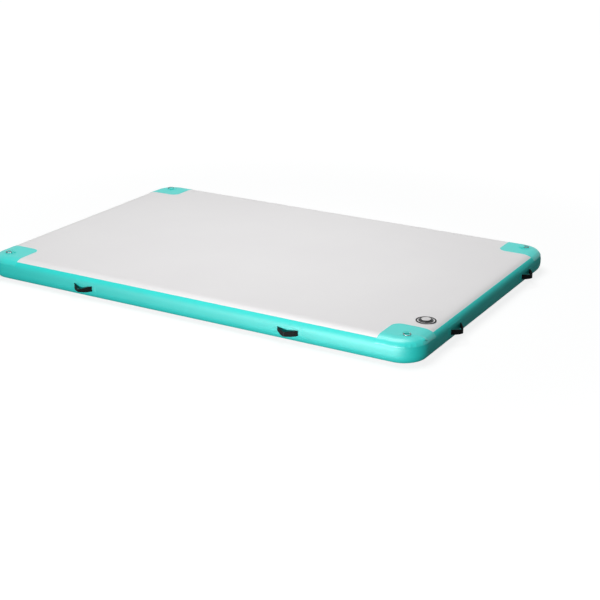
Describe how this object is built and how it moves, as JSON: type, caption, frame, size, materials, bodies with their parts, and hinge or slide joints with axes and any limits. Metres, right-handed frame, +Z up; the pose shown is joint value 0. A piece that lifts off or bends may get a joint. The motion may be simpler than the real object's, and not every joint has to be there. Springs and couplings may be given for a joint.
{
  "type": "inflatable floating platform",
  "caption": "Drop-stitch inflatable floating platform with a glued side band, corner D-rings, swinging webbing carry handles and a capped push-button air valve.",
  "frame": {"origin": "centre of the underside, where the platform lies on the water or the ground", "axes": "+X along the long side, towards the end with the air valve; +Y across the deck, with the valve near the -Y side; +Z up, out of the deck"},
  "size_m": [3.1364, 2.1364, 0.1614],
  "materials": {
    "base_cloth": "off-white woven base cloth with yarn bundles",
    "deck_skin": "pale grey-white coated skin, satin",
    "inner_tape": "pale grey coated tape, satin",
    "mint_band": "mint coated band, semi-gloss",
    "mint_patch": "mint coated patch, satin",
    "black_webbing": "black woven webbing",
    "mint_webbing": "mint woven webbing",
    "stainless_steel": "polished stainless wire",
    "black_plastic": "black moulded plastic, fine grain",
    "grey_plastic": "pale grey moulded plastic, satin",
    "grey_patch": "pale grey coated patch, satin",
    "black_rubber": "black seal rubber"
  },
  "bodies": {
    "platform": {"drop_stitch_core": "base_cloth", "top_skin": "deck_skin", "bottom_skin": "deck_skin", "inner_wall_front": "inner_tape", "inner_wall_right": "inner_tape", "inner_wall_back": "inner_tape", "inner_wall_left": "inner_tape", "side_band_front": "mint_band", "side_band_right": "mint_band", "side_band_back": "mint_band", "side_band_left": "mint_band", "corner_patch_front_left": "mint_patch", "corner_patch_front_right": "mint_patch", "corner_patch_back_right": "mint_patch", "corner_patch_back_left": "mint_patch", "d_ring_patch_front_left": "mint_patch", "d_ring_patch_front_right": "mint_patch", "d_ring_patch_back_right": "mint_patch", "d_ring_patch_back_left": "mint_patch", "d_ring_tab_front_left": "mint_webbing", "d_ring_tab_front_right": "mint_webbing", "d_ring_tab_back_right": "mint_webbing", "d_ring_tab_back_left": "mint_webbing", "handle_patch_front_left": "mint_patch", "handle_patch_front_right": "mint_patch", "handle_patch_right_front": "mint_patch", "handle_patch_right_back": "mint_patch", "handle_patch_back_right": "mint_patch", "handle_patch_back_left": "mint_patch", "handle_patch_left_back": "mint_patch", "handle_patch_left_front": "mint_patch", "valve_patch": "grey_patch", "valve_trim_ring": "black_plastic", "valve_gasket": "black_rubber", "valve_housing": "black_plastic", "valve_nut": "black_plastic"},
    "handle_front_left": {"handle_strap_front_left": "black_webbing"},
    "handle_front_right": {"handle_strap_front_right": "black_webbing"},
    "handle_right_front": {"handle_strap_right_front": "black_webbing"},
    "handle_right_back": {"handle_strap_right_back": "black_webbing"},
    "handle_back_right": {"handle_strap_back_right": "black_webbing"},
    "handle_back_left": {"handle_strap_back_left": "black_webbing"},
    "handle_left_back": {"handle_strap_left_back": "black_webbing"},
    "handle_left_front": {"handle_strap_left_front": "black_webbing"},
    "d_ring_front_left": {"d_ring_front_left": "stainless_steel"},
    "d_ring_front_right": {"d_ring_front_right": "stainless_steel"},
    "d_ring_back_right": {"d_ring_back_right": "stainless_steel"},
    "d_ring_back_left": {"d_ring_back_left": "stainless_steel"},
    "valve_tether": {"valve_cap_tether": "black_plastic"},
    "valve_cap": {"valve_cap": "grey_plastic", "valve_cap_gasket": "black_rubber"},
    "valve_poppet": {"valve_poppet": "grey_plastic", "valve_poppet_seal": "black_rubber", "valve_spring": "stainless_steel"},
    "valve_button": {"valve_button": "grey_plastic"}
  },
  "joints": [
    {"name": "handle_front_left_swing", "type": "hinge", "parent": "platform", "child": "handle_front_left", "pos_m": [-0.722, -1.0229, 0.075], "axis": [-1, 0, 0], "range_deg": [-30, 30], "stiffness_Nm_per_rad": 0.3},
    {"name": "handle_front_right_swing", "type": "hinge", "parent": "platform", "child": "handle_front_right", "pos_m": [0.722, -1.0229, 0.075], "axis": [-1, 0, 0], "range_deg": [-30, 30], "stiffness_Nm_per_rad": 0.3},
    {"name": "handle_right_front_swing", "type": "hinge", "parent": "platform", "child": "handle_right_front", "pos_m": [1.5229, -0.505, 0.075], "axis": [0, -1, 0], "range_deg": [-30, 30], "stiffness_Nm_per_rad": 0.3},
    {"name": "handle_right_back_swing", "type": "hinge", "parent": "platform", "child": "handle_right_back", "pos_m": [1.5229, 0.605, 0.075], "axis": [0, -1, 0], "range_deg": [-30, 30], "stiffness_Nm_per_rad": 0.3},
    {"name": "handle_back_right_swing", "type": "hinge", "parent": "platform", "child": "handle_back_right", "pos_m": [0.722, 1.0229, 0.075], "axis": [1, 0, 0], "range_deg": [-30, 30], "stiffness_Nm_per_rad": 0.3},
    {"name": "handle_back_left_swing", "type": "hinge", "parent": "platform", "child": "handle_back_left", "pos_m": [-0.722, 1.0229, 0.075], "axis": [1, 0, 0], "range_deg": [-30, 30], "stiffness_Nm_per_rad": 0.3},
    {"name": "handle_left_back_swing", "type": "hinge", "parent": "platform", "child": "handle_left_back", "pos_m": [-1.5229, 0.605, 0.075], "axis": [0, 1, 0], "range_deg": [-30, 30], "stiffness_Nm_per_rad": 0.3},
    {"name": "handle_left_front_swing", "type": "hinge", "parent": "platform", "child": "handle_left_front", "pos_m": [-1.5229, -0.505, 0.075], "axis": [0, 1, 0], "range_deg": [-30, 30], "stiffness_Nm_per_rad": 0.3},
    {"name": "d_ring_front_left_lift", "type": "hinge", "parent": "platform", "child": "d_ring_front_left", "pos_m": [-1.39576, -0.89576, 0.15685], "axis": [-0.7071, 0.7071, 0], "range_deg": [0, 170]},
    {"name": "d_ring_front_right_lift", "type": "hinge", "parent": "platform", "child": "d_ring_front_right", "pos_m": [1.39576, -0.89576, 0.15685], "axis": [-0.7071, -0.7071, 0], "range_deg": [0, 170]},
    {"name": "d_ring_back_right_lift", "type": "hinge", "parent": "platform", "child": "d_ring_back_right", "pos_m": [1.39576, 0.89576, 0.15685], "axis": [0.7071, -0.7071, 0], "range_deg": [0, 170]},
    {"name": "d_ring_back_left_lift", "type": "hinge", "parent": "platform", "child": "d_ring_back_left", "pos_m": [-1.39576, 0.89576, 0.15685], "axis": [0.7071, 0.7071, 0], "range_deg": [0, 170]},
    {"name": "valve_cap_flip", "type": "hinge", "parent": "platform", "child": "valve_tether", "pos_m": [1.3658, -0.652, 0.1564], "axis": [0, -1, 0], "range_deg": [0, 150]},
    {"name": "valve_cap_twist", "type": "hinge", "parent": "valve_tether", "child": "valve_cap", "pos_m": [1.402, -0.652, 0.1564], "axis": [0, 0, 1], "range_deg": [0, 90]},
    {"name": "valve_poppet_press", "type": "slide", "parent": "platform", "child": "valve_poppet", "axis": [0, 0, -1], "range_m": [0, 0.0045], "stiffness_N_per_m": 600, "springref_m": -0.004, "deforming": ["valve_spring"]},
    {"name": "valve_button_twist", "type": "hinge", "parent": "valve_poppet", "child": "valve_button", "pos_m": [1.402, -0.652, 0.1448], "axis": [0, 0, 1], "range_deg": [0, 90]}
  ]
}
